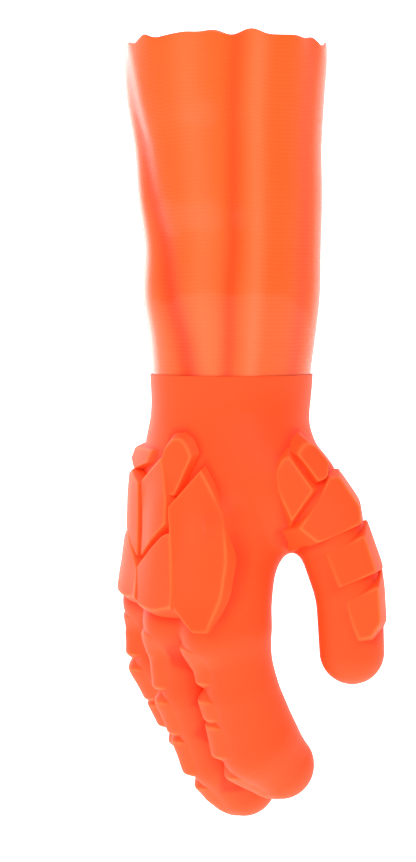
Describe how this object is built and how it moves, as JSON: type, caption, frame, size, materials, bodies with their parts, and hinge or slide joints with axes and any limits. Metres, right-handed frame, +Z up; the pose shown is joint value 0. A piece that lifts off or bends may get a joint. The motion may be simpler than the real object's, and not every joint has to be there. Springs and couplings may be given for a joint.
{
  "type": "impact gauntlet glove",
  "caption": "Right-hand insulated rubber gauntlet glove with raised impact pads on the back of the hand, fingers and thumb, and flexing wrist and finger joints.",
  "frame": {"origin": "centre of the cuff opening", "axes": "+Z up out of the cuff, +X towards the palm side, -Y towards the thumb side"},
  "size_m": [0.09, 0.1493, 0.3371],
  "materials": {
    "sleeve": "gloss",
    "coat": "matt",
    "pads": "matt",
    "liner": "matt"
  },
  "bodies": {
    "gauntlet": {"gauntlet_sleeve": "sleeve", "gauntlet_lining": "liner", "wrist_coat_band": "coat"},
    "hand": {"hand_coat": "coat", "hand_liner": "liner", "index_knuckle_pad": "pads", "little_knuckle_pad": "pads", "little_side_wrist_pad": "pads", "middle_back_pad": "pads", "middle_knuckle_pad": "pads", "ring_back_pad": "pads", "ring_knuckle_pad": "pads", "thumb_root_back_pad": "pads", "thumb_root_front_pad": "pads", "thumb_side_wrist_pad": "pads"},
    "index_proximal": {"index_proximal_coat": "coat", "index_proximal_liner": "liner", "index_proximal_pad": "pads"},
    "index_middle": {"index_middle_coat": "coat", "index_middle_liner": "liner", "index_middle_pads": "pads"},
    "index_distal": {"index_distal_coat": "coat", "index_distal_liner": "liner", "index_distal_pad": "pads"},
    "middle_proximal": {"middle_proximal_coat": "coat", "middle_proximal_liner": "liner", "middle_proximal_pad": "pads"},
    "middle_middle": {"middle_middle_coat": "coat", "middle_middle_liner": "liner", "middle_middle_pads": "pads"},
    "middle_distal": {"middle_distal_coat": "coat", "middle_distal_liner": "liner", "middle_distal_pad": "pads"},
    "ring_proximal": {"ring_proximal_coat": "coat", "ring_proximal_liner": "liner", "ring_proximal_pad": "pads"},
    "ring_middle": {"ring_middle_coat": "coat", "ring_middle_liner": "liner", "ring_middle_pads": "pads"},
    "ring_distal": {"ring_distal_coat": "coat", "ring_distal_liner": "liner", "ring_distal_pad": "pads"},
    "little_proximal": {"little_proximal_coat": "coat", "little_proximal_liner": "liner", "little_proximal_pad": "pads"},
    "little_middle": {"little_middle_coat": "coat", "little_middle_liner": "liner", "little_middle_pads": "pads"},
    "little_distal": {"little_distal_coat": "coat", "little_distal_liner": "liner", "little_distal_pad": "pads"},
    "thumb_base": {"thumb_base_coat": "coat", "thumb_base_liner": "liner", "thumb_base_pad": "pads"},
    "thumb_proximal": {"thumb_proximal_coat": "coat", "thumb_proximal_liner": "liner", "thumb_proximal_pad": "pads"},
    "thumb_distal": {"thumb_distal_coat": "coat", "thumb_distal_liner": "liner", "thumb_distal_pad": "pads"}
  },
  "joints": [
    {"name": "wrist_flex", "type": "hinge", "parent": "gauntlet", "child": "hand", "pos_m": [0, 0, -0.1575], "axis": [0, -1, 0], "range_deg": [-25, 25], "stiffness_Nm_per_rad": 1},
    {"name": "index_root_flex", "type": "hinge", "parent": "hand", "child": "index_proximal", "pos_m": [-0.021, -0.038, -0.249], "axis": [0, -1, 0], "range_deg": [-12, 45], "stiffness_Nm_per_rad": 0.35},
    {"name": "index_middle_flex", "type": "hinge", "parent": "index_proximal", "child": "index_middle", "pos_m": [-0.01559, -0.038, -0.27443], "axis": [0, -1, 0], "range_deg": [-10, 50], "stiffness_Nm_per_rad": 0.3},
    {"name": "index_end_flex", "type": "hinge", "parent": "index_middle", "child": "index_distal", "pos_m": [-0.00704, -0.038, -0.29792], "axis": [0, -1, 0], "range_deg": [-6, 30], "stiffness_Nm_per_rad": 0.25},
    {"name": "middle_root_flex", "type": "hinge", "parent": "hand", "child": "middle_proximal", "pos_m": [-0.025, -0.01, -0.249], "axis": [0, -1, 0], "range_deg": [-12, 45], "stiffness_Nm_per_rad": 0.35},
    {"name": "middle_middle_flex", "type": "hinge", "parent": "middle_proximal", "child": "middle_middle", "pos_m": [-0.02013, -0.01, -0.27809], "axis": [0, -1, 0], "range_deg": [-10, 50], "stiffness_Nm_per_rad": 0.3},
    {"name": "middle_end_flex", "type": "hinge", "parent": "middle_middle", "child": "middle_distal", "pos_m": [-0.00739, -0.01, -0.30962], "axis": [0, -1, 0], "range_deg": [-6, 30], "stiffness_Nm_per_rad": 0.25},
    {"name": "ring_root_flex", "type": "hinge", "parent": "hand", "child": "ring_proximal", "pos_m": [-0.0225, 0.018, -0.2435], "axis": [0, -1, 0], "range_deg": [-12, 45], "stiffness_Nm_per_rad": 0.35},
    {"name": "ring_middle_flex", "type": "hinge", "parent": "ring_proximal", "child": "ring_middle", "pos_m": [-0.01924, 0.018, -0.26829], "axis": [0, -1, 0], "range_deg": [-10, 50], "stiffness_Nm_per_rad": 0.3},
    {"name": "ring_end_flex", "type": "hinge", "parent": "ring_middle", "child": "ring_distal", "pos_m": [-0.00374, 0.018, -0.29742], "axis": [0, -1, 0], "range_deg": [-6, 30], "stiffness_Nm_per_rad": 0.25},
    {"name": "little_root_flex", "type": "hinge", "parent": "hand", "child": "little_proximal", "pos_m": [-0.0095, 0.045, -0.2325], "axis": [0, -1, 0], "range_deg": [-12, 45], "stiffness_Nm_per_rad": 0.35},
    {"name": "little_middle_flex", "type": "hinge", "parent": "little_proximal", "child": "little_middle", "pos_m": [-0.00288, 0.045, -0.25557], "axis": [0, -1, 0], "range_deg": [-10, 50], "stiffness_Nm_per_rad": 0.3},
    {"name": "little_end_flex", "type": "hinge", "parent": "little_middle", "child": "little_distal", "pos_m": [0.00999, 0.045, -0.277], "axis": [0, -1, 0], "range_deg": [-6, 30], "stiffness_Nm_per_rad": 0.25},
    {"name": "thumb_root_flex", "type": "hinge", "parent": "hand", "child": "thumb_base", "pos_m": [0.009, -0.045, -0.19], "axis": [-0.9592, -0.1957, -0.2042], "range_deg": [-15, 18], "stiffness_Nm_per_rad": 0.5},
    {"name": "thumb_middle_flex", "type": "hinge", "parent": "thumb_base", "child": "thumb_proximal", "pos_m": [0.016, -0.06, -0.2085], "axis": [-0.9712, -0.1982, -0.1326], "range_deg": [-25, 10], "stiffness_Nm_per_rad": 0.35},
    {"name": "thumb_end_flex", "type": "hinge", "parent": "thumb_proximal", "child": "thumb_distal", "pos_m": [0.0205, -0.067, -0.231], "axis": [-0.9789, -0.1998, -0.0436], "range_deg": [-25, 10], "stiffness_Nm_per_rad": 0.25}
  ],
  "couplings": [
    {"joint": "index_end_flex", "follows": "index_middle_flex", "ratio": 0.6},
    {"joint": "middle_end_flex", "follows": "middle_middle_flex", "ratio": 0.6},
    {"joint": "ring_end_flex", "follows": "ring_middle_flex", "ratio": 0.6},
    {"joint": "little_end_flex", "follows": "little_middle_flex", "ratio": 0.6}
  ]
}
